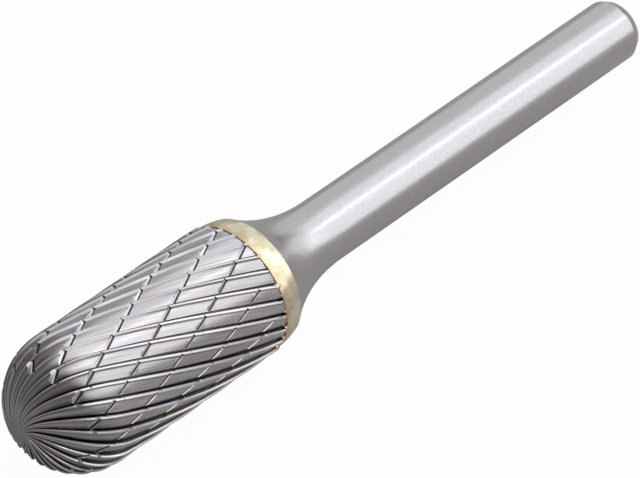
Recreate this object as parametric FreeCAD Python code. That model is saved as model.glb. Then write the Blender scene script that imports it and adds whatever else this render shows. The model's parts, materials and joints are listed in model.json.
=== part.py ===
import FreeCAD, Part

"""Ball-nosed cylindrical burr: a fluted carbide head brazed to a turned steel shank.

The tool axis is X, from the nose to the free end of the shank, and Z is up. The burr lies level on
the barrel of its head. The origin is on the floor, below the middle of the burr's length.
Angles round the axis are right-handed about +X and start at +Y, so the top is at 90 degrees.
"""

import math
import os

# Head, in millimetres and degrees
HEAD_DIAMETER = 12.7
HEAD_LENGTH = 25.4
BACK_CHAMFER = 0.3

# Cutting teeth: right-hand flutes with one cutting edge each
TOOTH_COUNT = 26
TOOTH_TWIST = 3.5
TOOTH_TURN = 10.1
FLUTE_DEPTH = 0.55
LAND_WIDTH = 0.2
LAND_RELIEF = 0.012
RAKE_LEAN = 0.2
NOSE_START = 8.0

# Chip breakers: narrow left-hand notches across the teeth
BREAKER_COUNT = 12
BREAKER_TWIST = 3.8
BREAKER_TURN = 25.8
BREAKER_DEPTH = 0.34
BREAKER_WIDTH = 0.32
BREAKER_NOSE_ANGLE = 40.0
BREAKER_AHEAD = 0.25

# Brazed joint
BRAZE_LAYER = 0.15
BRAZE_HEAD_DIAMETER = 12.3
BRAZE_SHOULDER_DIAMETER = 11.7
BRAZE_BULGE = 0.07
BRAZE_BAND = 2.0
COLLAR_THICKNESS = 0.4

# Shank
SHANK_DIAMETER = 6.0
SHANK_LENGTH = 40.0
FLARE_LENGTH = 8.8
END_CHAMFER_DEPTH = 0.5
END_CHAMFER_LENGTH = 0.9

# Construction of the tooth edges
EDGE_POINTS = 41
EDGE_TOLERANCE = 0.002
SEAM_TOLERANCE = 0.0001

HEAD_RADIUS = HEAD_DIAMETER / 2
SHANK_RADIUS = SHANK_DIAMETER / 2
SHOULDER_RADIUS = BRAZE_SHOULDER_DIAMETER / 2
SEAT_RADIUS = SHOULDER_RADIUS - COLLAR_THICKNESS
SEAT_X = HEAD_LENGTH + BRAZE_LAYER
SHOULDER_X = HEAD_LENGTH + BRAZE_BAND
FLARE_END_X = SHOULDER_X + FLARE_LENGTH
TOTAL_LENGTH = FLARE_END_X + SHANK_LENGTH
PITCH = 360.0 / TOOTH_COUNT
LAND_ANGLE = math.degrees(LAND_WIDTH / HEAD_RADIUS)
RAKE_ANGLE = math.degrees(RAKE_LEAN / HEAD_RADIUS)
TOOTH_HELIX = math.atan(math.radians(TOOTH_TWIST) * HEAD_RADIUS)
BREAKER_HELIX = math.atan(math.radians(BREAKER_TWIST) * HEAD_RADIUS)

X_AXIS = FreeCAD.Vector(1, 0, 0)
ORIGIN = FreeCAD.Vector(0, 0, 0)


def around(x, radius, angle):
    """A point at an axial place, a radius and an angle round the tool axis."""
    turn = math.radians(angle)
    return FreeCAD.Vector(x, radius * math.cos(turn), radius * math.sin(turn))


def reach(latitude):
    """Axial length on the barrel that has the same twist as the ball up to this latitude."""
    return HEAD_RADIUS * math.log(math.tan(latitude / 2))


def latitude_of(axial_reach):
    """The latitude on the ball, in radians from the pole, for a negative reach."""
    return 2 * math.atan(math.exp(axial_reach / HEAD_RADIUS))


def on_ball(latitude, depth, angle):
    """A point on the ball nose, sunk by a depth along the ball's own normal."""
    inner = HEAD_RADIUS - depth
    twist = TOOTH_TWIST * reach(latitude)
    return around(HEAD_RADIUS - inner * math.cos(latitude), inner * math.sin(latitude), angle + twist)


def on_barrel(x, depth, angle):
    """A point on the barrel, sunk by a depth towards the axis."""
    return around(x, HEAD_RADIUS - depth, angle + TOOTH_TWIST * (x - HEAD_RADIUS))


def guide(route, first, last):
    """A smooth edge along a route between two places on it."""
    step = (last - first) / (EDGE_POINTS - 1)
    places = [first + step * i for i in range(EDGE_POINTS)]
    curve = Part.BSplineCurve()
    curve.approximate(
        Points=[route(place) for place in places],
        Parameters=places,
        DegMin=3,
        DegMax=5,
        Tolerance=EDGE_TOLERANCE,
    )
    return curve.toShape()


def tooth_guides(tooth, angle, depth):
    """One long edge of a tooth, as its ball part and its barrel part.

    Every second flute grows more slowly from the pole, so the teeth merge in pairs at the nose.
    """
    start = math.radians(NOSE_START)
    equator = math.pi / 2
    growth = 1 if tooth % 2 == 0 else 2
    place = TOOTH_TURN + tooth * PITCH + angle

    def ball_route(latitude):
        part = (latitude - start) / (equator - start)
        return on_ball(latitude, depth * math.sin(part * equator) ** growth, place)

    def barrel_route(x):
        return on_barrel(x, depth, place)

    return guide(ball_route, start, equator), guide(barrel_route, HEAD_RADIUS, HEAD_LENGTH)


def fluted_head():
    """The solid head with all its teeth: land, clearance face and rake face for each one."""
    tooth_edges = (
        (0.0, 0.0),
        (LAND_ANGLE, LAND_RELIEF),
        (PITCH - RAKE_ANGLE, FLUTE_DEPTH),
    )
    ball_edges, barrel_edges = [], []
    for tooth in range(TOOTH_COUNT):
        for angle, depth in tooth_edges:
            ball, barrel = tooth_guides(tooth, angle, depth)
            ball_edges.append(ball)
            barrel_edges.append(barrel)
    count = len(ball_edges)
    nose_ring = [edge.valueAt(edge.FirstParameter) for edge in ball_edges]
    back_ring = [edge.valueAt(edge.LastParameter) for edge in barrel_edges]
    faces = []
    for i in range(count):
        j = (i + 1) % count
        faces.append(Part.makeRuledSurface(ball_edges[i], ball_edges[j]))
        faces.append(Part.makeRuledSurface(barrel_edges[i], barrel_edges[j]))
        faces.append(Part.Face(Part.makePolygon([ORIGIN, nose_ring[i], nose_ring[j], ORIGIN])))
    faces.append(Part.Face(Part.makePolygon(back_ring + back_ring[:1])))
    skin = Part.makeCompound(faces)
    skin.sewShape(SEAM_TOLERANCE)
    solid = Part.makeSolid(skin.Shells[0])
    if solid.Volume < 0:
        solid.reverse()
    return solid


def breaker_notch(axial_reach, angle):
    """A short V-shaped bar along a left-hand helix, centred where it crosses one tooth."""
    if axial_reach < 0:
        latitude = latitude_of(axial_reach)
        x = HEAD_RADIUS * (1 - math.cos(latitude))
        radius = HEAD_RADIUS * math.sin(latitude)
    else:
        latitude = math.pi / 2
        x = HEAD_RADIUS + axial_reach
        radius = HEAD_RADIUS
    radial = around(0, 1, angle)
    outward = radial * math.sin(latitude) - X_AXIS * math.cos(latitude)
    aside = X_AXIS.cross(radial)
    ahead = outward.cross(aside)
    along = ahead * math.cos(BREAKER_HELIX) - aside * math.sin(BREAKER_HELIX)
    across = outward.cross(along)
    # The bar reaches from the tooth's rake side to the depth where its clearance face runs lower
    closing = math.sin(BREAKER_HELIX) + math.cos(BREAKER_HELIX) * math.tan(TOOTH_HELIX)
    length = math.radians(PITCH) * radius / closing
    clear = BREAKER_WIDTH
    spread = BREAKER_WIDTH / 2 * (1 + clear / BREAKER_DEPTH)
    start = around(x, radius, angle) + along * (length * BREAKER_AHEAD)
    corners = [
        start - outward * BREAKER_DEPTH,
        start + outward * clear + across * spread,
        start + outward * clear - across * spread,
    ]
    section = Part.Face(Part.makePolygon(corners + corners[:1]))
    return section.extrude(along * -length)


def breaker_notches():
    """All the notches: each breaker helix crosses the teeth one by one."""
    nearest = reach(math.radians(BREAKER_NOSE_ANGLE))
    farthest = HEAD_LENGTH - HEAD_RADIUS
    closing = TOOTH_TWIST + BREAKER_TWIST
    edge = TOOTH_TURN + LAND_ANGLE
    bars = []
    for breaker in range(BREAKER_COUNT):
        start = BREAKER_TURN + breaker * 360.0 / BREAKER_COUNT
        lowest = math.ceil((start - edge - closing * farthest) / PITCH)
        highest = math.floor((start - edge - closing * nearest) / PITCH)
        for crossing in range(lowest, highest + 1):
            axial_reach = (start - edge - crossing * PITCH) / closing
            bars.append(breaker_notch(axial_reach, start - BREAKER_TWIST * axial_reach))
    return bars


def turned(outline):
    """A solid of revolution about the tool axis from a closed outline of edges."""
    return Part.Face(Part.Wire(outline)).revolve(ORIGIN, X_AXIS, 360)


def line(x1, r1, x2, r2):
    """A straight edge of an outline, from axial place and radius to the same."""
    return Part.LineSegment(FreeCAD.Vector(x1, r1, 0), FreeCAD.Vector(x2, r2, 0)).toShape()


def arc(x1, r1, xm, rm, x2, r2):
    """A round edge of an outline through three places."""
    places = [FreeCAD.Vector(x, r, 0) for x, r in ((x1, r1), (xm, rm), (x2, r2))]
    return Part.Arc(*places).toShape()


def swept(x1, r1, corner_x, corner_r, x2, r2):
    """A curved edge of an outline, tangent at both ends to the lines that meet in its corner."""
    curve = Part.BezierCurve()
    places = ((x1, r1), (corner_x, corner_r), (x2, r2))
    curve.setPoles([FreeCAD.Vector(x, r, 0) for x, r in places])
    return curve.toShape()


def carbide_head():
    """The head with its teeth, its chip breakers and the chamfer on its back rim."""
    over = HEAD_RADIUS + BACK_CHAMFER
    rim_ring = turned(
        [
            line(HEAD_LENGTH - 2 * BACK_CHAMFER, over, HEAD_LENGTH, HEAD_RADIUS - BACK_CHAMFER),
            line(HEAD_LENGTH, HEAD_RADIUS - BACK_CHAMFER, HEAD_LENGTH + BACK_CHAMFER, over),
            line(HEAD_LENGTH + BACK_CHAMFER, over, HEAD_LENGTH - 2 * BACK_CHAMFER, over),
        ]
    )
    return fluted_head().cut(breaker_notches()).cut(rim_ring)


def braze_joint():
    """The braze metal: a thin layer between the butt faces and a collar round the shank's seat."""
    front = BRAZE_HEAD_DIAMETER / 2
    middle_x = (HEAD_LENGTH + SHOULDER_X) / 2
    middle = (front + SHOULDER_RADIUS) / 2 + BRAZE_BULGE
    return turned(
        [
            line(HEAD_LENGTH, 0, HEAD_LENGTH, front),
            arc(HEAD_LENGTH, front, middle_x, middle, SHOULDER_X, SHOULDER_RADIUS),
            line(SHOULDER_X, SHOULDER_RADIUS, SHOULDER_X, SEAT_RADIUS),
            line(SHOULDER_X, SEAT_RADIUS, SEAT_X, SEAT_RADIUS),
            line(SEAT_X, SEAT_RADIUS, SEAT_X, 0),
            line(SEAT_X, 0, HEAD_LENGTH, 0),
        ]
    )


def steel_shank():
    """The turned shank: seat, shoulder, flare that runs tangent into the round bar, end chamfer."""
    rise = SHOULDER_RADIUS - SHANK_RADIUS
    corner_x = FLARE_END_X - (rise**2 + FLARE_LENGTH**2) / (2 * FLARE_LENGTH)
    chamfer_x = TOTAL_LENGTH - END_CHAMFER_LENGTH
    tip = SHANK_RADIUS - END_CHAMFER_DEPTH
    return turned(
        [
            line(SEAT_X, 0, SEAT_X, SEAT_RADIUS),
            line(SEAT_X, SEAT_RADIUS, SHOULDER_X, SEAT_RADIUS),
            line(SHOULDER_X, SEAT_RADIUS, SHOULDER_X, SHOULDER_RADIUS),
            swept(SHOULDER_X, SHOULDER_RADIUS, corner_x, SHANK_RADIUS, FLARE_END_X, SHANK_RADIUS),
            line(FLARE_END_X, SHANK_RADIUS, chamfer_x, SHANK_RADIUS),
            line(chamfer_x, SHANK_RADIUS, TOTAL_LENGTH, tip),
            line(TOTAL_LENGTH, tip, TOTAL_LENGTH, 0),
            line(TOTAL_LENGTH, 0, SEAT_X, 0),
        ]
    )


def main():
    """Build the three pieces, lay them level and write one file for each."""
    os.makedirs("parts", exist_ok=True)
    pieces = {
        "carbide_head": carbide_head(),
        "braze_joint": braze_joint(),
        "steel_shank": steel_shank(),
    }
    lying = FreeCAD.Vector(-TOTAL_LENGTH / 2, 0, HEAD_RADIUS)
    for name, shape in pieces.items():
        shape.translate(lying)
        shape.exportStep("parts/" + name + ".step")
        print(name, shape.isValid(), len(shape.Solids), round(shape.Volume, 2))


main()
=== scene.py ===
"""The looks of a ball-nosed carbide burr: fluted head, braze collar and turned steel shank.

The tool axis runs along X from the nose to the shank's end, and Z is up. In the classes of the
head, the braze and the shank, fields that end in _x or _z are places in metres, and all other
lengths are in millimetres. Everything else is in metres. Angles are right-handed about +X, and
in degrees where nothing says radians.
"""

import json
import logging
import math
import random
from dataclasses import dataclass
from enum import Enum
from typing import Iterator, Sequence

import bmesh
import bpy
import numpy as np
from mathutils import Matrix, Vector


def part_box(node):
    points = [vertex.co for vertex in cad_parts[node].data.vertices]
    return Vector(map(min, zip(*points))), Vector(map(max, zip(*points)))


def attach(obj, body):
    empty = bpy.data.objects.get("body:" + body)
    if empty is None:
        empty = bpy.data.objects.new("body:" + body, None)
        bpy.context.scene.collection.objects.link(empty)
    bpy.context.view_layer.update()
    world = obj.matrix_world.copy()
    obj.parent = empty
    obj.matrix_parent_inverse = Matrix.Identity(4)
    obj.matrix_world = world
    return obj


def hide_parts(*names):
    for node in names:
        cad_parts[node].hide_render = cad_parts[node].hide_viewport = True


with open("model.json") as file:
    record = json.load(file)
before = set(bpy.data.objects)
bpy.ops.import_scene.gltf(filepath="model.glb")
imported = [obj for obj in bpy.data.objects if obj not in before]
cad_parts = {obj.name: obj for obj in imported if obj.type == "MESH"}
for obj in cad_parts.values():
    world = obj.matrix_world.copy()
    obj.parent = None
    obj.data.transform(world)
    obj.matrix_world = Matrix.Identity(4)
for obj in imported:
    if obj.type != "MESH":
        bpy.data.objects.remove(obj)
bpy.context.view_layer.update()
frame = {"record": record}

MM = 0.001
TOOTH_MAP = "tooth_run"

log = logging.getLogger("burr")


class ToothPoint(Enum):
    """The corners of one tooth's section: degrees behind the cutting edge and depth in mm."""

    EDGE = (0.0, 0.0)
    LAND = (1.15, 0.012)
    HEEL = (2.5, 0.18)
    BACK = (6.4, 0.235)
    TOE = (10.8, 0.38)
    GULLET = (11.7, 0.55)
    ROOT = (12.2, 0.50)
    BEVEL = (12.55, 0.29)
    SHOULDER = (12.9, 0.14)
    CREST = (13.42, 0.02)

    @property
    def angle(self) -> float:
        """Degrees round the axis, behind the cutting edge."""
        return self.value[0]

    @property
    def depth(self) -> float:
        """Millimetres below the outside of the head, on the barrel."""
        return self.value[1]


TOOTH_POINTS = list(ToothPoint)


def leave_edit_mode() -> None:
    """Go back to object mode with nothing selected."""
    if bpy.context.object is not None and bpy.context.object.mode != "OBJECT":
        bpy.ops.object.mode_set(mode="OBJECT")
    bpy.ops.object.select_all(action="DESELECT")


def make_active(piece: bpy.types.Object) -> None:
    """Select one piece alone and make it the active one.

    Args:
        piece: The piece to work on.
    """
    leave_edit_mode()
    piece.select_set(True)
    bpy.context.view_layer.objects.active = piece


def settle(piece: bpy.types.Object) -> None:
    """Move a piece's place, turn and scale into its mesh.

    Args:
        piece: A mesh object.
    """
    make_active(piece)
    bpy.ops.object.transform_apply(location=True, rotation=True, scale=True)


def apply_modifier(piece: bpy.types.Object, kind: str, **settings: object) -> None:
    """Add a modifier to a piece and apply it.

    Args:
        piece: The mesh object.
        kind: The modifier's type.
        **settings: Its settings by name.
    """
    make_active(piece)
    modifier = piece.modifiers.new(kind.title(), kind)
    for name, value in settings.items():
        setattr(modifier, name, value)
    bpy.ops.object.modifier_apply(modifier=modifier.name)


def smooth(piece: bpy.types.Object, sharp_angle: float) -> None:
    """Shade a piece smooth, apart from edges sharper than an angle.

    Args:
        piece: The mesh object.
        sharp_angle: Degrees between the faces beside an edge.
    """
    make_active(piece)
    bpy.ops.object.shade_smooth_by_angle(angle=math.radians(sharp_angle))


class Turning:
    """A mesh that grows ring by ring along the tool axis, as work in a lathe does."""

    def __init__(self, name: str, points: int, x: float, radius: float, axis_z: float) -> None:
        """Start with one open ring.

        Args:
            name: The piece's name.
            points: Vertices in each ring.
            x: The ring's place along the axis.
            radius: The ring's radius.
            axis_z: Height of the axis.
        """
        self.points = points
        self.pivot = (0.0, 0.0, axis_z)
        leave_edit_mode()
        bpy.ops.mesh.primitive_circle_add(
            vertices=points,
            radius=radius,
            location=(x, 0.0, axis_z),
            rotation=(0.0, math.pi / 2, 0.0),
        )
        self.piece = bpy.context.object
        self.piece.name = name
        self.piece.data.name = name
        settle(self.piece)
        bpy.ops.object.mode_set(mode="EDIT")
        bpy.ops.mesh.select_all(action="SELECT")

    def grow(self) -> None:
        """Extrude the selected ring in place."""
        bpy.ops.mesh.extrude_region_move(TRANSFORM_OT_translate={"value": (0.0, 0.0, 0.0)})

    def turn(self, degrees: float) -> None:
        """Turn what is selected about the tool axis, right-handed about +X."""
        bpy.ops.transform.rotate(
            value=-math.radians(degrees), orient_axis="X", center_override=self.pivot
        )

    def widen(self, factor: float) -> None:
        """Scale what is selected about the tool axis."""
        bpy.ops.transform.resize(value=(1.0, factor, factor), center_override=self.pivot)

    def slide(self, distance: float) -> None:
        """Move what is selected along the tool axis."""
        bpy.ops.transform.translate(value=(distance, 0.0, 0.0))

    def pick(self, ring: int, start: int = 0, step: int = 1) -> None:
        """Select one ring, or every so many of its vertices.

        Args:
            ring: Number of the ring, -1 for the newest.
            start: Place in the ring of the first vertex.
            step: Places from one vertex to the next.
        """
        bpy.ops.mesh.select_all(action="DESELECT")
        shape = bmesh.from_edit_mesh(self.piece.data)
        shape.verts.ensure_lookup_table()
        rings = len(shape.verts) // self.points
        first = (ring % rings) * self.points
        for place in range(start, self.points, step):
            shape.verts[first + place].select_set(True)
        shape.select_flush(True)

    def cap(self) -> None:
        """Close the selected ring with one flat face."""
        bpy.ops.mesh.edge_face_add()

    def close_at_pole(self) -> None:
        """Draw the selected ring together into one point on its middle."""
        bpy.ops.mesh.merge(type="CENTER")

    def done(self) -> bpy.types.Object:
        """Leave edit mode with the faces pointing outwards.

        Returns:
            The finished mesh object.
        """
        bpy.ops.mesh.select_all(action="SELECT")
        bpy.ops.mesh.normals_make_consistent(inside=False)
        leave_edit_mode()
        return self.piece


class Recipe:
    """A material that is written node by node."""

    # Sockets of a Mix node that mixes colours: its factor and two inputs, and its result.
    MIX_SOCKETS = (0, 6, 7)
    MIX_RESULT = 2

    def __init__(self, name: str) -> None:
        """Start an empty node tree with its output.

        Args:
            name: The material's name.
        """
        self.material = bpy.data.materials.new(name)
        self.material.use_nodes = True
        self.tree = self.material.node_tree
        self.tree.nodes.clear()
        self.output = self.tree.nodes.new("ShaderNodeOutputMaterial")

    def add(self, kind: str, inputs: dict | None = None, **settings: object) -> bpy.types.Node:
        """Add a node.

        Args:
            kind: The node's type, without its ShaderNode prefix.
            inputs: Values or output sockets by input name or number.
            **settings: The node's own settings by name.

        Returns:
            The new node.
        """
        node = self.tree.nodes.new("ShaderNode" + kind)
        for name, value in settings.items():
            setattr(node, name, value)
        for name, value in (inputs or {}).items():
            socket = node.inputs[name]
            if isinstance(value, bpy.types.NodeSocket):
                self.tree.links.new(value, socket)
            else:
                socket.default_value = value
        return node

    def math(self, operation: str, *values: object) -> bpy.types.NodeSocket:
        """Add a Math node and return its result."""
        inputs = dict(enumerate(values))
        return self.add("Math", inputs, operation=operation).outputs[0]

    def ramp(self, factor: bpy.types.NodeSocket, stops: Sequence[tuple]) -> bpy.types.NodeSocket:
        """Add a colour ramp.

        Args:
            factor: What the ramp reads.
            stops: Places from 0 to 1, each with a grey level or a colour.

        Returns:
            The ramp's colour socket.
        """
        node = self.add("ValToRGB", {"Fac": factor})
        elements = node.color_ramp.elements
        while len(elements) < len(stops):
            elements.new(1.0)
        for element, (place, shade) in zip(elements, stops):
            element.position = place
            rgb = (shade,) * 3 if isinstance(shade, float) else shade
            element.color = (*rgb, 1.0)
        return node.outputs["Color"]

    def mix(
        self, factor: object, first: object, second: object, blend: str = "MIX"
    ) -> bpy.types.NodeSocket:
        """Mix two colours.

        Args:
            factor: The second colour's share, a number or a socket.
            first: A colour or a socket.
            second: A colour or a socket.
            blend: How the second colour is laid over the first.

        Returns:
            The mixed colour's socket.
        """
        node = self.add("Mix", data_type="RGBA", blend_type=blend)
        for number, value in zip(self.MIX_SOCKETS, (factor, first, second)):
            socket = node.inputs[number]
            if isinstance(value, bpy.types.NodeSocket):
                self.tree.links.new(value, socket)
            elif isinstance(value, float):
                socket.default_value = value
            else:
                socket.default_value = (*value, 1.0)
        return node.outputs[self.MIX_RESULT]

    def noise(
        self, place: bpy.types.NodeSocket, scale: float, detail: float
    ) -> bpy.types.NodeSocket:
        """Add a noise texture and return its level from 0 to 1."""
        inputs = {"Vector": place, "Scale": scale, "Detail": detail}
        return self.add("TexNoise", inputs).outputs["Fac"]

    def place(self) -> bpy.types.NodeSocket:
        """Return a point's place on the piece, in metres."""
        return self.add("TexCoord").outputs["Object"]

    def varied(
        self, level: bpy.types.NodeSocket, middle: float, spread: float
    ) -> bpy.types.NodeSocket:
        """Turn a level from 0 to 1 into a number that varies about its middle."""
        return self.math("MULTIPLY_ADD", level, spread, middle - spread / 2)

    def bump(
        self, height: bpy.types.NodeSocket, strength: float, depth: float
    ) -> bpy.types.NodeSocket:
        """Add a bump of a depth in millimetres and return its normal."""
        inputs = {"Strength": strength, "Distance": depth * MM, "Height": height}
        return self.add("Bump", inputs).outputs[0]

    def metal(
        self, colour: object, roughness: object, normal: bpy.types.NodeSocket | None = None
    ) -> bpy.types.Material:
        """Finish the material as bare metal.

        Args:
            colour: Its colour socket.
            roughness: Its roughness socket.
            normal: The normal of its bump, if it has one.

        Returns:
            The material.
        """
        inputs = {"Base Color": colour, "Metallic": 1.0, "Roughness": roughness}
        if normal is not None:
            inputs["Normal"] = normal
        return self.finish(self.add("BsdfPrincipled", inputs))

    def finish(self, shader: bpy.types.Node) -> bpy.types.Material:
        """Wire the shader to the output and return the material."""
        self.tree.links.new(shader.outputs[0], self.output.inputs["Surface"])
        return self.material


@dataclass(frozen=True)
class CarbideFinish:
    """Ground cemented carbide: lands painted lighter, partly for their polish and partly as a
    painted highlight; brushed backs; gullets darkened with painted shade.

    Stops are pairs of a place in the tooth, from 0 at its cutting edge to 1 at the next, and a
    level. A tile is the stretch of a tooth between two chip breakers, which close in on the
    teeth by closing degrees in each millimetre, from tile_turn on. A bump is a strength and a
    depth in millimetres.
    """

    pitch: float
    tile: float
    closing: float
    tile_turn: float
    # The lands are lighter, partly for their polish and partly as a painted highlight along each
    # cutting edge.
    land: tuple = (0.68, 0.65, 0.65)
    back: tuple = (0.57, 0.535, 0.54)
    # Painted shade: the near-black colour of the gullets and of a thin line under each land.
    gullet: tuple = (0.055, 0.05, 0.05)
    roughness: float = 0.27
    roughness_spread: float = 0.16
    tooth_spread: float = 0.16
    tinting: float = 0.022
    streak_scales: tuple = (0.22, 1.6)
    streak_levels: tuple = ((0.30, 0.66), (0.70, 1.22))
    streak_bump: tuple = (0.25, 0.02)
    # Where the lands' painted highlight lies across a tooth.
    land_highlight_stops: tuple = ((0.0, 1.0), (0.081, 1.0), (0.097, 0.0), (0.926, 0.0), (0.936, 1.0))
    # Share of painted shade across a tooth on the barrel: a thin line under the land and the dark
    # gullet.
    barrel_shade_stops: tuple = (
        (0.098, 0.0),
        (0.115, 0.28),
        (0.175, 0.20),
        (0.25, 0.0),
        (0.78, 0.0),
        (0.85, 0.25),
        (0.885, 1.0),
        (0.922, 1.0),
        (0.932, 0.0),
    )
    # Share of painted shade across a tooth on the ball, which darkens most of each flute there.
    ball_shade_stops: tuple = (
        (0.098, 0.0),
        (0.12, 0.65),
        (0.42, 0.22),
        (0.62, 0.62),
        (0.76, 0.90),
        (0.922, 1.0),
        (0.932, 0.0),
    )
    # Reaches over which the ball's painted shade takes over from the barrel's.
    ball_shade_blend: tuple = (-0.5, -3.0)

    def make(self) -> bpy.types.Material:
        """Write the material.

        Returns:
            The carbide material, which reads the head's map of its teeth.
        """
        recipe = Recipe("ground_carbide")
        run = recipe.add("UVMap", uv_map=TOOTH_MAP)
        split = recipe.add("SeparateXYZ", {0: run.outputs[0]})
        along, across = split.outputs[0], split.outputs[1]
        tooth = recipe.math("DIVIDE", across, self.pitch)
        phase = recipe.math("FRACT", tooth)
        number = recipe.math("FLOOR", tooth)
        own = recipe.add("TexWhiteNoise", {"W": number}, noise_dimensions="1D").outputs["Value"]
        streak = self.streaks(recipe, along, across, number)
        ground = recipe.mix(1.0, self.back, recipe.ramp(streak, self.streak_levels), "MULTIPLY")
        # Painted shade darkens the gullets and the foot of each land, and the lands get a painted
        # highlight.
        painted_hollow_shade = self.painted_hollow_shade(recipe, phase, along)
        dark = recipe.mix(painted_hollow_shade, ground, self.gullet)
        colour = recipe.mix(recipe.ramp(phase, self.land_highlight_stops), dark, self.land)
        tinted = recipe.mix(self.tinting, colour, self.tint(recipe, along, across, number))
        worn = recipe.varied(own, 1.0, self.tooth_spread)
        tone = recipe.add("HueSaturation", {"Value": worn, "Color": tinted}).outputs[0]
        rough = recipe.varied(streak, self.roughness, self.roughness_spread)
        return recipe.metal(tone, rough, recipe.bump(streak, *self.streak_bump))

    def streaks(
        self,
        recipe: Recipe,
        along: bpy.types.NodeSocket,
        across: bpy.types.NodeSocket,
        number: bpy.types.NodeSocket,
    ) -> bpy.types.NodeSocket:
        """Draw fine grinding streaks along each tooth.

        Args:
            recipe: The material.
            along: Place along the tooth.
            across: Angle across the teeth.
            number: The tooth's number.

        Returns:
            The streaks' level from 0 to 1.
        """
        slow, quick = self.streak_scales
        slow_along = recipe.math("MULTIPLY", along, slow)
        quick_across = recipe.math("MULTIPLY", across, quick)
        lanes = recipe.add("CombineXYZ", {0: slow_along, 1: quick_across, 2: number})
        return recipe.noise(lanes.outputs[0], scale=1.0, detail=4.0)

    def painted_hollow_shade(
        self, recipe: Recipe, phase: bpy.types.NodeSocket, along: bpy.types.NodeSocket
    ) -> bpy.types.NodeSocket:
        """Say how much painted shade darkens the tooth's hollows, on the barrel and on the ball.

        Args:
            recipe: The material.
            phase: Place in the tooth.
            along: Place along the tooth.

        Returns:
            The share of the gullet's colour, which is painted shade.
        """
        barrel = recipe.ramp(phase, self.barrel_shade_stops)
        ball = recipe.ramp(phase, self.ball_shade_stops)
        begins, ends = self.ball_shade_blend
        span = {"Value": along, "From Min": begins, "From Max": ends}
        return recipe.mix(recipe.add("MapRange", span).outputs[0], barrel, ball)

    def tint(
        self,
        recipe: Recipe,
        along: bpy.types.NodeSocket,
        across: bpy.types.NodeSocket,
        number: bpy.types.NodeSocket,
    ) -> bpy.types.NodeSocket:
        """Give each tile of each tooth a tint of its own.

        Args:
            recipe: The material.
            along: Place along the tooth.
            across: Angle across the teeth.
            number: The tooth's number.

        Returns:
            The tint's colour.
        """
        turned = recipe.math("MULTIPLY_ADD", along, self.closing, across)
        tile = recipe.math("DIVIDE", recipe.math("ADD", turned, self.tile_turn), self.tile)
        spot = recipe.add("CombineXYZ", {0: number, 1: recipe.math("FLOOR", tile)})
        inputs = {"Vector": spot.outputs[0]}
        return recipe.add("TexWhiteNoise", inputs, noise_dimensions="2D").outputs["Color"]


@dataclass(frozen=True)
class NotchFinish:
    """The freshly ground chip breakers: bright walls, or a root whose dark colour is painted shade.
    """

    name: str = "notch_wall"
    colour: tuple = (0.60, 0.57, 0.57)
    roughness: float = 0.22
    roughness_spread: float = 0.1
    dulled: float = 0.8
    grain_scale: float = 4000.0

    def make(self) -> bpy.types.Material:
        """Write the material.

        Returns:
            The material of the walls or of the root.
        """
        recipe = Recipe(self.name)
        grain = recipe.noise(recipe.place(), self.grain_scale, detail=2.0)
        dull = tuple(self.dulled * level for level in self.colour)
        rough = recipe.varied(grain, self.roughness, self.roughness_spread)
        return recipe.metal(recipe.mix(grain, dull, self.colour), rough)


@dataclass(frozen=True)
class BrazeFinish:
    """Pale silver braze, smooth where it flowed and darker gold in random clouds.

    The fringe is a copper edge at the head, whose width wanders with the clouds. The clouds'
    bump is a strength and a depth in millimetres.
    """

    front_x: float
    bright: tuple = (0.86, 0.80, 0.60)
    dull: tuple = (0.66, 0.55, 0.36)
    copper: tuple = (0.72, 0.52, 0.33)
    roughness: float = 0.26
    roughness_spread: float = 0.2
    cloud_scale: float = 900.0
    cloud_levels: tuple = ((0.40, 0.0), (0.68, 1.0))
    cloud_bump: tuple = (0.5, 0.03)
    grain_scale: float = 5200.0
    fringe_width: float = 1.4
    fringe_fade: float = 0.4
    fringe_share: float = 0.75

    def make(self) -> bpy.types.Material:
        """Write the material.

        Returns:
            The braze material.
        """
        recipe = Recipe("silver_braze")
        place = recipe.place()
        clouds = recipe.noise(place, self.cloud_scale, detail=3.0)
        grain = recipe.noise(place, self.grain_scale, detail=2.0)
        silver = recipe.mix(recipe.ramp(clouds, self.cloud_levels), self.bright, self.dull)
        x = recipe.add("SeparateXYZ", {0: place}).outputs[0]
        edge = recipe.math("MULTIPLY_ADD", clouds, self.fringe_width * MM, self.front_x)
        span = {
            "Value": recipe.math("SUBTRACT", edge, x),
            "From Min": 0.0,
            "From Max": self.fringe_fade * MM,
            "To Min": 0.0,
            "To Max": self.fringe_share,
        }
        fringe = recipe.add("MapRange", span).outputs[0]
        colour = recipe.mix(fringe, silver, self.copper)
        rough = recipe.varied(grain, self.roughness, self.roughness_spread)
        return recipe.metal(colour, rough, recipe.bump(clouds, *self.cloud_bump))


@dataclass(frozen=True)
class SteelFinish:
    """Satin ground steel with a fine grain, whose bump is a strength and a depth in millimetres."""

    light: tuple = (0.60, 0.575, 0.585)
    dark: tuple = (0.54, 0.515, 0.525)
    roughness: float = 0.26
    roughness_spread: float = 0.12
    grain_scale: float = 6000.0
    grain_stretch: tuple = (0.5, 1.0, 1.0)
    grain_levels: tuple = ((0.32, 0.0), (0.68, 1.0))
    grain_bump: tuple = (0.3, 0.012)
    cloud_scale: float = 260.0

    def make(self) -> bpy.types.Material:
        """Write the material.

        Returns:
            The steel material.
        """
        recipe = Recipe("satin_steel")
        place = recipe.place()
        stretched = recipe.add("Mapping", {"Vector": place, "Scale": self.grain_stretch})
        grain = recipe.noise(stretched.outputs[0], self.grain_scale, detail=3.0)
        clouds = recipe.noise(place, self.cloud_scale, detail=2.0)
        colour = recipe.mix(recipe.ramp(grain, self.grain_levels), self.dark, self.light)
        rough = recipe.varied(clouds, self.roughness, self.roughness_spread)
        return recipe.metal(colour, rough, recipe.bump(grain, *self.grain_bump))


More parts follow.
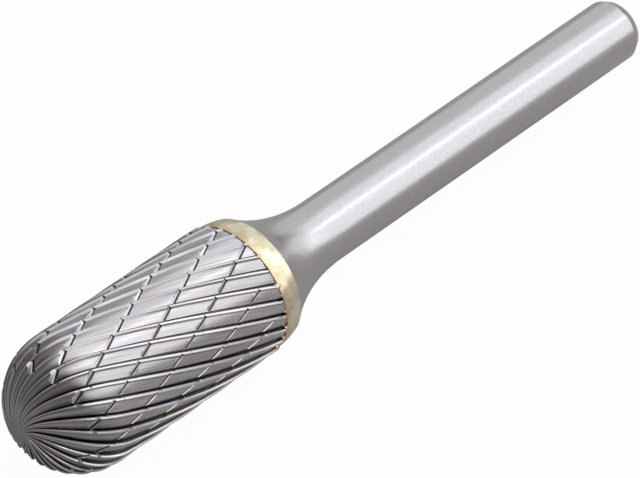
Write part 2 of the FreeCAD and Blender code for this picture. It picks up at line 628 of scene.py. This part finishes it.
@dataclass(frozen=True)
class PaperFinish:
    """The pale paper that the burr lies on."""

    colour: tuple = (0.50, 0.475, 0.47)
    lift: float = 0.96
    glow: float = 1.01

    def make(self) -> bpy.types.Material:
        """Write the material: nearly white to the camera, with the burr's shadow.

        Returns:
            The paper material.
        """
        recipe = Recipe("pale_paper")
        rays = recipe.add("LightPath")
        share = recipe.math("MULTIPLY", rays.outputs["Is Camera Ray"], self.lift)
        paper = recipe.add("BsdfDiffuse", {"Color": (*self.colour, 1.0)})
        white = {"Color": (1.0, 1.0, 1.0, 1.0), "Strength": self.glow}
        glow = recipe.add("Emission", white)
        both = recipe.add("MixShader", {0: share, 1: paper.outputs[0], 2: glow.outputs[0]})
        return recipe.finish(both)


@dataclass
class CarbideHead:
    """The fluted head: a barrel with a ball nose, its teeth and its chip breakers.

    A reach is a place along the teeth: the distance from the equator, where the ball meets the
    barrel, and negative on the ball. Each chip breaker is a row of notches, one in each tooth
    that it crosses. The fields notch_ahead and notch_behind say how far a notch reaches from
    the back of the land, as shares of the way across a tooth, and notch_drop is the slope of
    its root in radians.
    """

    nose_x: float
    back_x: float
    axis_z: float
    radius: float = 6.35
    teeth: int = 26
    twist: float = 3.5
    first_edge: float = 10.1
    nose_start: float = 5.0
    growths: tuple = (0.7, 1.6)
    barrel_rings: int = 76
    ball_rings: int = 44
    rim_chamfer: float = 0.3
    breakers: int = 12
    breaker_twist: float = 3.8
    breaker_turn: float = 25.8
    notch_depth: float = 0.46
    notch_width: float = 0.76
    notch_side: float = 0.90
    notch_bottom: float = 0.11
    notch_drop: float = 0.227
    notch_ahead: float = -0.04
    notch_behind: float = 0.71
    notch_nose: float = 54.0
    nose_widening: float = 0.6
    widening_from: float = 1.5
    widening_over: float = 3.0
    sharp_angle: float = 38.0
    weld: float = 0.0004
    map_pole: float = 0.02
    map_shift: float = 720.0

    @property
    def length(self) -> float:
        """Length of the head."""
        return (self.back_x - self.nose_x) / MM

    @property
    def pitch(self) -> float:
        """Angle from one cutting edge to the next."""
        return 360.0 / self.teeth

    @property
    def last_gullet(self) -> float:
        """Angle of one gullet at the head's back, where the braze runs into it."""
        return self.first_edge + ToothPoint.GULLET.angle + self.twist * (self.length - self.radius)

    def finish(self) -> CarbideFinish:
        """Return the finish that fits the teeth and the chip breakers."""
        return CarbideFinish(
            pitch=self.pitch,
            tile=360.0 / self.breakers,
            closing=self.twist + self.breaker_twist,
            tile_turn=self.first_edge - self.breaker_turn,
        )

    def reach(self, latitude: float) -> float:
        """The reach of a place on the ball, given as its angle from the pole in radians."""
        return self.radius * math.log(math.tan(latitude / 2))

    def latitude(self, reach: float) -> float:
        """The angle from the pole, in radians, of a place with a negative reach."""
        return 2 * math.atan(math.exp(reach / self.radius))

    def depth(self, place: int, latitude: float) -> float:
        """How deep a point of the section lies on the ball.

        Args:
            place: Place in the ring.
            latitude: Angle from the pole, in radians.

        Returns:
            The depth, which grows from the pole and more slowly for every second tooth.
        """
        tooth, point = divmod(place, len(TOOTH_POINTS))
        start = math.radians(self.nose_start)
        share = max(0.0, (latitude - start) / (math.pi / 2 - start))
        growth = self.growths[tooth % 2]
        return TOOTH_POINTS[point].depth * math.sin(share * math.pi / 2) ** growth

    def build(self, cuts: Sequence[bpy.types.Material]) -> bpy.types.Object:
        """Model the head.

        Args:
            cuts: The materials of the chip breakers' walls and roots.

        Returns:
            The finished head.
        """
        work = self.ring_at_equator()
        self.grow_barrel(work)
        self.grow_ball(work)
        piece = work.done()
        piece.data.materials.append(self.finish().make())
        self.cut_notches(piece, cuts)
        smooth(piece, self.sharp_angle)
        self.lay_tooth_run(piece)
        return piece

    def ring_at_equator(self) -> Turning:
        """Start with the whole tooth section where the ball meets the barrel.

        Returns:
            The work, with its one ring selected.
        """
        kinds = len(TOOTH_POINTS)
        x = self.nose_x + self.radius * MM
        work = Turning("burr_head", self.teeth * kinds, x, self.radius * MM, self.axis_z)
        work.turn(self.first_edge)
        for kind, point in enumerate(TOOTH_POINTS):
            work.pick(0, kind, kinds)
            work.turn(point.angle - kind * self.pitch / kinds)
            work.widen(1 - point.depth / self.radius)
        work.pick(0)
        return work

    def grow_ball(self, work: Turning) -> None:
        """Grow the ball nose from the equator to its pole.

        Args:
            work: The work, whose first ring is the equator.
        """
        work.pick(0)
        pair = 2 * len(TOOTH_POINTS)
        start = math.radians(self.nose_start)
        step = (math.pi / 2 - start) / self.ball_rings
        before = math.pi / 2
        for ring in range(1, self.ball_rings + 1):
            here = math.pi / 2 - step * ring
            work.grow()
            work.turn(self.twist * (self.reach(here) - self.reach(before)))
            for kind in range(pair):
                old = self.radius - self.depth(kind, before)
                new = self.radius - self.depth(kind, here)
                work.pick(-1, kind, pair)
                work.widen(new * math.sin(here) / (old * math.sin(before)))
                work.slide((old * math.cos(before) - new * math.cos(here)) * MM)
            work.pick(-1)
            before = here
        work.grow()
        work.slide(-self.radius * (1 - math.cos(before)) * MM)
        work.close_at_pole()

    def grow_barrel(self, work: Turning) -> None:
        """Grow the barrel from the equator to the chamfered back rim.

        Args:
            work: The work, with the equator's ring selected.
        """
        straight = self.length - self.radius - self.rim_chamfer
        step = straight / self.barrel_rings
        for _ in range(self.barrel_rings):
            work.grow()
            work.slide(step * MM)
            work.turn(self.twist * step)
        work.grow()
        work.slide(self.rim_chamfer * MM)
        work.turn(self.twist * self.rim_chamfer)
        kinds = len(TOOTH_POINTS)
        rim = self.radius - self.rim_chamfer
        for kind, point in enumerate(TOOTH_POINTS):
            here = self.radius - point.depth
            if here > rim:
                work.pick(-1, kind, kinds)
                work.widen(rim / here)
        work.pick(-1)
        work.cap()

    def cut_notches(self, piece: bpy.types.Object, cuts: Sequence[bpy.types.Material]) -> None:
        """Cut the chip breakers across the teeth.

        Args:
            piece: The fluted head.
            cuts: The materials of their walls and roots.
        """
        cutter = self.notch_cutter(cuts)
        apply_modifier(
            piece,
            "BOOLEAN",
            operation="DIFFERENCE",
            solver="EXACT",
            use_self=True,
            material_mode="TRANSFER",
            object=cutter,
        )
        bpy.data.objects.remove(cutter)
        self.clear_slivers(piece)

    def clear_slivers(self, piece: bpy.types.Object) -> None:
        """Weld the points that the cuts left doubled and clear the slivers between them.

        A sliver that the weld leaves hangs on by one edge, so faces with an open edge are
        deleted, and then those that they had hung on. What is left open is filled.

        Args:
            piece: The notched head.
        """
        make_active(piece)
        bpy.ops.object.mode_set(mode="EDIT")
        bpy.ops.mesh.select_all(action="SELECT")
        bpy.ops.mesh.remove_doubles(threshold=self.weld * MM)
        bpy.ops.mesh.dissolve_degenerate(threshold=self.weld * MM)
        bpy.ops.mesh.quads_convert_to_tris(quad_method="BEAUTY", ngon_method="CLIP")
        shape = bmesh.from_edit_mesh(piece.data)
        for _ in range(2):
            hanging = [face for face in shape.faces if any(e.is_boundary for e in face.edges)]
            bmesh.ops.delete(shape, geom=hanging, context="FACES")
        bmesh.update_edit_mesh(piece.data)
        bpy.ops.mesh.select_all(action="SELECT")
        bpy.ops.mesh.fill_holes(sides=0)
        bpy.ops.mesh.select_all(action="SELECT")
        bpy.ops.mesh.quads_convert_to_tris(quad_method="BEAUTY", ngon_method="CLIP")
        bpy.ops.mesh.normals_make_consistent(inside=False)
        leave_edit_mode()

    def notch_cutter(self, cuts: Sequence[bpy.types.Material]) -> bpy.types.Object:
        """Model one bar with a rounded V below and copy it to every crossing of the teeth.

        Args:
            cuts: The materials that it leaves, on the walls and at the root.

        Returns:
            All bars as one object.
        """
        leave_edit_mode()
        corner = self.notch_side / math.sqrt(2)
        bpy.ops.mesh.primitive_cube_add(
            size=1.0,
            location=(0.0, corner - self.notch_depth, 0.0),
            rotation=(0.0, 0.0, math.pi / 4),
            scale=(self.notch_side, self.notch_side, 1.0),
        )
        bar = bpy.context.object
        for cut in cuts:
            bar.data.materials.append(cut)
        settle(bar)
        bpy.ops.object.mode_set(mode="EDIT")
        bpy.ops.mesh.select_all(action="DESELECT")
        shape = bmesh.from_edit_mesh(bar.data)
        bottom = min(vertex.co.y for vertex in shape.verts)
        for vertex in shape.verts:
            vertex.select_set(vertex.co.y < bottom + self.notch_bottom / 2)
        shape.select_flush(True)
        # The bevelled root takes the second material, whose near-black colour is painted shade.
        bpy.ops.mesh.bevel(offset=self.notch_bottom, segments=2, affect="EDGES", material=1)
        bar.scale.x = self.notch_width / 2 / self.notch_depth
        settle(bar)
        leave_edit_mode()
        for frame_of_bar in self.crossings():
            copy = bar.copy()
            copy.data = bar.data.copy()
            copy.matrix_world = frame_of_bar
            bpy.context.collection.objects.link(copy)
            copy.select_set(True)
        bpy.data.objects.remove(bar)
        copies = bpy.context.selected_objects
        bpy.context.view_layer.objects.active = copies[0]
        bpy.ops.object.join()
        cutter = bpy.context.object
        settle(cutter)
        return cutter

    def crossings(self) -> Iterator[Matrix]:
        """Find where each breaker crosses each tooth.

        Yields:
            A frame for one bar: across, outward and along the breaker's helix.
        """
        nearest = self.reach(math.radians(self.notch_nose))
        farthest = self.length - self.radius
        closing = self.twist + self.breaker_twist
        edge = self.first_edge + ToothPoint.LAND.angle
        for breaker in range(self.breakers):
            start = self.breaker_turn + breaker * 360.0 / self.breakers
            lowest = math.ceil((start - edge - closing * farthest) / self.pitch)
            highest = math.floor((start - edge - closing * nearest) / self.pitch)
            for crossing in range(lowest, highest + 1):
                reach = (start - edge - crossing * self.pitch) / closing
                yield self.bar_frame(reach, start - self.breaker_twist * reach)

    def bar_frame(self, reach: float, angle: float) -> Matrix:
        """Find the frame of a bar on the head's outside.

        Args:
            reach: Place along the teeth.
            angle: Place round the axis.

        Returns:
            A matrix whose columns are across, outward and along the breaker's helix.
        """
        # The place of the crossing and the directions there.
        latitude = self.latitude(reach) if reach < 0 else math.pi / 2
        x = self.radius * (1 - math.cos(latitude)) + max(reach, 0.0)
        radius = self.radius * math.sin(latitude)
        round_x = Matrix.Rotation(math.radians(angle), 3, "X")
        radial = round_x @ Vector((0, 1, 0))
        aside = round_x @ Vector((0, 0, 1))
        outward = radial * math.sin(latitude) - Vector((1, 0, 0)) * math.cos(latitude)
        ahead = outward.cross(aside)
        helix = math.atan(math.radians(self.breaker_twist) * self.radius)
        tooth_helix = math.atan(math.radians(self.twist) * self.radius)
        along = ahead * math.cos(helix) - aside * math.sin(helix)
        across = outward.cross(along)
        # The way across a tooth along the breaker, and the stretch of it that the bar cuts.
        closing = math.sin(helix) + math.cos(helix) * math.tan(tooth_helix)
        length = math.radians(self.pitch) * radius / closing
        offset = (self.notch_ahead - self.notch_behind) / 2
        middle = Vector((x, 0, 0)) + radial * radius + along * (length * offset)
        length *= self.notch_ahead + self.notch_behind
        # The bar leans into the tooth and is wider near the nose.
        along = along * math.cos(self.notch_drop) + outward * math.sin(self.notch_drop)
        outward = along.cross(across)
        near_nose = min(1.0, max(0.0, (self.widening_from - reach) / self.widening_over))
        across = across * (1.0 + self.nose_widening * near_nose)
        columns = Matrix((across * MM, outward * MM, along * (length * MM)))
        frame_of_bar = columns.transposed().to_4x4()
        frame_of_bar.translation = middle * MM + Vector((self.nose_x, 0, self.axis_z))
        return frame_of_bar

    def lay_tooth_run(self, piece: bpy.types.Object) -> None:
        """Lay a map that runs along and across the teeth, in millimetres and degrees.

        All corners of a face are kept on one turn, so none is stretched over the map's seam.
        The map starts map_pole radians from the pole, and map_shift keeps it positive.

        Args:
            piece: The head.
        """
        mesh = piece.data
        count = len(mesh.vertices)
        flat = np.zeros(count * 3)
        mesh.vertices.foreach_get("co", flat)
        x, y, z = flat.reshape(-1, 3).T
        x = (x - self.nose_x) / MM
        y = y / MM
        z = (z - self.axis_z) / MM
        out = np.hypot(y, z)
        latitude = np.arctan2(out, self.radius - x)
        on_ball = self.radius * np.log(np.tan(np.clip(latitude, self.map_pole, math.pi / 2) / 2))
        reach = np.where(x > self.radius, x - self.radius, on_ball)
        across = np.degrees(np.arctan2(z, y)) - self.twist * reach - self.first_edge
        corners = np.zeros(len(mesh.loops), int)
        mesh.loops.foreach_get("vertex_index", corners)
        starts = np.zeros(len(mesh.polygons), int)
        sizes = np.zeros(len(mesh.polygons), int)
        mesh.polygons.foreach_get("loop_start", starts)
        mesh.polygons.foreach_get("loop_total", sizes)
        first = np.repeat(across[corners[starts]], sizes)
        level = across[corners] + 360.0 * np.round((first - across[corners]) / 360.0)
        places = np.stack([reach[corners], level + self.map_shift], 1)
        mesh.uv_layers.new(name=TOOTH_MAP).uv.foreach_set("vector", places.ravel())


@dataclass
class BrazeJoint:
    """The braze collar between the head and the shank's shoulder.

    Each drop draws its size, its turn away from its flute, its lead into the flute as a share
    of its size, and its stretch along the flute, each between two limits.
    """

    front_x: float
    back_x: float
    axis_z: float
    front_radius: float = 6.15
    back_radius: float = 5.85
    seat_radius: float = 5.45
    layer: float = 0.15
    bulge: float = 0.09
    points: int = 156
    rings: int = 8
    drops: int = 26
    first_drop: float = 0.0
    drop_radius: float = 5.98
    drop_sizes: tuple = (0.10, 0.34)
    drop_turns: tuple = (-2.5, 2.5)
    drop_leads: tuple = (0.0, 0.5)
    drop_stretches: tuple = (0.9, 1.5)
    drop_faces: tuple = (12, 8)
    seed: int = 11
    sharp_angle: float = 35.0

    def build(self, finish: bpy.types.Material) -> bpy.types.Object:
        """Model the collar.

        Args:
            finish: The braze material.

        Returns:
            The finished collar.
        """
        width = (self.back_x - self.front_x) / MM
        work = Turning(
            "braze_collar", self.points, self.front_x, self.front_radius * MM, self.axis_z
        )
        work.cap()
        work.pick(0)
        radius = self.front_radius
        for ring in range(1, self.rings + 1):
            share = ring / self.rings
            straight = self.front_radius + (self.back_radius - self.front_radius) * share
            new = straight + self.bulge * math.sin(math.pi * share)
            work.grow()
            work.slide(width / self.rings * MM)
            work.widen(new / radius)
            radius = new
        work.grow()
        work.widen(self.seat_radius / radius)
        work.grow()
        work.slide((self.layer - width) * MM)
        work.cap()
        piece = self.add_drops(work.done())
        smooth(piece, self.sharp_angle)
        piece.data.materials.append(finish)
        return piece

    def add_drops(self, collar: bpy.types.Object) -> bpy.types.Object:
        """Set drops of braze into the ends of the flutes.

        Args:
            collar: The collar.

        Returns:
            The collar with its drops.
        """
        chance = random.Random(self.seed)
        leave_edit_mode()
        segments, rings = self.drop_faces
        bpy.ops.mesh.primitive_uv_sphere_add(segments=segments, ring_count=rings, radius=MM)
        model = bpy.context.object
        model.select_set(False)
        for drop in range(self.drops):
            size = chance.uniform(*self.drop_sizes)
            middle = self.first_drop + drop * 360.0 / self.drops
            angle = math.radians(middle + chance.uniform(*self.drop_turns))
            copy = model.copy()
            copy.data = model.data.copy()
            copy.location = (
                self.front_x - chance.uniform(*self.drop_leads) * size * MM,
                self.drop_radius * MM * math.cos(angle),
                self.axis_z + self.drop_radius * MM * math.sin(angle),
            )
            copy.scale = (size * chance.uniform(*self.drop_stretches), size, size)
            bpy.context.collection.objects.link(copy)
            copy.select_set(True)
        bpy.data.objects.remove(model)
        collar.select_set(True)
        bpy.context.view_layer.objects.active = collar
        bpy.ops.object.join()
        return bpy.context.object


@dataclass
class SteelShank:
    """The turned shank: seat, shoulder, flare, bar and chamfered end."""

    seat_x: float
    shoulder_x: float
    end_x: float
    axis_z: float
    seat_radius: float = 5.45
    shoulder_radius: float = 5.85
    radius: float = 3.0
    flare: float = 8.8
    chamfer_depth: float = 0.5
    chamfer_length: float = 0.9
    points: int = 144
    flare_rings: int = 18
    softened: float = 0.08
    softened_segments: int = 3
    softened_angle: float = 20.0
    sharp_angle: float = 35.0

    def outline(self) -> list[tuple[float, float]]:
        """The visible outline from the shoulder to the free end.

        Returns:
            Places along the axis, in metres, with radii in millimetres.
        """
        rise = self.shoulder_radius - self.radius
        corner = self.flare - (rise**2 + self.flare**2) / (2 * self.flare)
        stations = []
        for ring in range(1, self.flare_rings + 1):
            t = ring / self.flare_rings
            x = 2 * (1 - t) * t * corner + t**2 * self.flare
            stations.append((self.shoulder_x + x * MM, self.radius + (1 - t) ** 2 * rise))
        stations.append((self.end_x - self.chamfer_length * MM, self.radius))
        stations.append((self.end_x, self.radius - self.chamfer_depth))
        return stations

    def build(self, finish: bpy.types.Material) -> bpy.types.Object:
        """Model the shank.

        Args:
            finish: The steel material.

        Returns:
            The finished shank.
        """
        work = Turning(
            "steel_shank_bar", self.points, self.seat_x, self.seat_radius * MM, self.axis_z
        )
        work.cap()
        work.pick(0)
        work.grow()
        work.slide(self.shoulder_x - self.seat_x)
        work.grow()
        work.widen(self.shoulder_radius / self.seat_radius)
        here, radius = self.shoulder_x, self.shoulder_radius
        for x, new in self.outline():
            work.grow()
            work.slide(x - here)
            work.widen(new / radius)
            here, radius = x, new
        work.cap()
        piece = work.done()
        apply_modifier(
            piece,
            "BEVEL",
            width=self.softened * MM,
            segments=self.softened_segments,
            limit_method="ANGLE",
            angle_limit=math.radians(self.softened_angle),
        )
        smooth(piece, self.sharp_angle)
        piece.data.materials.append(finish)
        return piece


@dataclass
class Softbox:
    """One soft lamp, which gives the same radiance all over its face."""

    LONG = 2.6
    COOL = (0.93, 0.97, 1.0)

    name: str
    place: tuple
    aim: tuple
    width: float
    height: float
    radiance: float
    colour: tuple = (1.0, 1.0, 1.0)

    @classmethod
    def beside(
        cls, name: str, angle: float, height: float, radiance: float, middle_x: float = 0.85
    ) -> "Softbox":
        """Make a long lamp that runs beside the tool axis.

        Args:
            name: The lamp's name.
            angle: Its place round the axis: 90 is overhead and 180 the front horizon.
            height: Its size round the axis.
            radiance: How bright it looks.
            middle_x: Its middle along the axis.

        Returns:
            The lamp.
        """
        turn = math.radians(angle)
        middle = (middle_x, 0.0, 0.0)
        place = (middle_x, math.cos(turn), math.sin(turn))
        return cls(name, place, middle, cls.LONG, height, radiance, cls.COOL)

    def hang(self) -> None:
        """Add the lamp."""
        light = bpy.data.lights.new(self.name, "AREA")
        light.shape = "RECTANGLE"
        light.size = self.width
        light.size_y = self.height
        light.energy = self.radiance * math.pi * self.width * self.height
        light.color = self.colour
        lamp = bpy.data.objects.new(self.name, light)
        lamp.location = self.place
        towards = Vector(self.place) - Vector(self.aim)
        lamp.rotation_euler = towards.to_track_quat("Z", "Y").to_euler()
        bpy.context.scene.collection.objects.link(lamp)


@dataclass
class Studio:
    """The floor, the lamps, the world and the camera."""

    lamps: Sequence[Softbox]
    floor_width: float = 6.0
    world_level: float = 0.26
    backdrop_level: float = 0.98
    camera_place: tuple = (-0.229446, -0.211900, 0.266677)
    look_round: float = 42.98
    look_down: float = 40.04
    lens: float = 261.79
    sensor: float = 36.0

    def build(self, paper: bpy.types.Material) -> None:
        """Set the scene round the burr.

        Args:
            paper: The floor's material.
        """
        self.lay_floor(paper)
        self.light_world()
        for lamp in self.lamps:
            lamp.hang()
        self.aim_camera()

    def lay_floor(self, paper: bpy.types.Material) -> None:
        """Lay the pale floor.

        Args:
            paper: Its material.
        """
        leave_edit_mode()
        bpy.ops.mesh.primitive_plane_add(size=self.floor_width)
        floor = bpy.context.object
        floor.name = "floor"
        floor.data.materials.append(paper)

    def light_world(self) -> None:
        """Give the room an even level, which the camera alone sees as nearly white."""
        world = bpy.data.worlds.new("room")
        world.use_nodes = True
        tree = world.node_tree
        level = tree.nodes["Background"]
        level.inputs["Color"].default_value = (1.0, 1.0, 1.0, 1.0)
        rays = tree.nodes.new("ShaderNodeLightPath")
        strength = tree.nodes.new("ShaderNodeMapRange")
        strength.inputs["To Min"].default_value = self.world_level
        strength.inputs["To Max"].default_value = self.backdrop_level
        tree.links.new(rays.outputs["Is Camera Ray"], strength.inputs["Value"])
        tree.links.new(strength.outputs[0], level.inputs["Strength"])
        bpy.context.scene.world = world

    def aim_camera(self) -> None:
        """Place the camera where the photograph was taken from."""
        data = bpy.data.cameras.new("camera")
        data.lens = self.lens
        data.sensor_width = self.sensor
        camera = bpy.data.objects.new("camera", data)
        turn, drop = math.radians(self.look_round), math.radians(self.look_down)
        look = Vector(
            (math.cos(turn) * math.cos(drop), math.sin(turn) * math.cos(drop), -math.sin(drop))
        )
        camera.location = self.camera_place
        camera.rotation_euler = look.to_track_quat("-Z", "Y").to_euler()
        bpy.context.scene.collection.objects.link(camera)
        bpy.context.scene.camera = camera


def dress(piece: bpy.types.Object, node: str) -> None:
    """Hang a piece on the root body and hide the CAD node that it stands for.

    Args:
        piece: The finished piece.
        node: The node that it replaces.
    """
    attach(piece, "root")
    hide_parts(node)
    log.info("%s: %d faces", piece.name, len(piece.data.polygons))


def main() -> None:
    """Build the burr and its studio in order, and report each piece."""
    logging.basicConfig(level=logging.INFO, format="%(name)s: %(message)s")
    bpy.context.scene.view_settings.view_transform = "Standard"
    axis_z = frame["record"]["mounts"][0]["pos_m"][2]
    head_low, head_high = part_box("carbide_head")
    braze_low, braze_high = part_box("braze_joint")
    shank_low, shank_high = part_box("steel_shank")
    head = CarbideHead(head_low.x, head_high.x, axis_z)
    # The root's near-black colour is painted shade in the bottom of each chip breaker.
    root = NotchFinish("notch_root_painted_shade", colour=(0.07, 0.065, 0.065), roughness=0.4)
    cuts = [NotchFinish().make(), root.make()]
    dress(head.build(cuts), "carbide_head")
    braze = BrazeJoint(
        braze_low.x, braze_high.x, axis_z, drops=head.teeth, first_drop=head.last_gullet
    )
    dress(braze.build(BrazeFinish(braze_low.x).make()), "braze_joint")
    shank = SteelShank(shank_low.x, braze_high.x, shank_high.x, axis_z)
    dress(shank.build(SteelFinish().make()), "steel_shank")
    studio = Studio(
        lamps=[
            Softbox.beside("key", 143.0, 1.25, 1.20),
            Softbox.beside("top", 96.0, 0.89, 1.05),
            Softbox.beside("rear", 38.5, 1.32, 0.56, 1.75),
            Softbox("end", (2.2, -0.5, 0.5), (0.0, -0.5, 0.5), 1.4, 0.9, 0.8),
        ]
    )
    studio.build(PaperFinish().make())


if __name__ == "__main__":
    main()
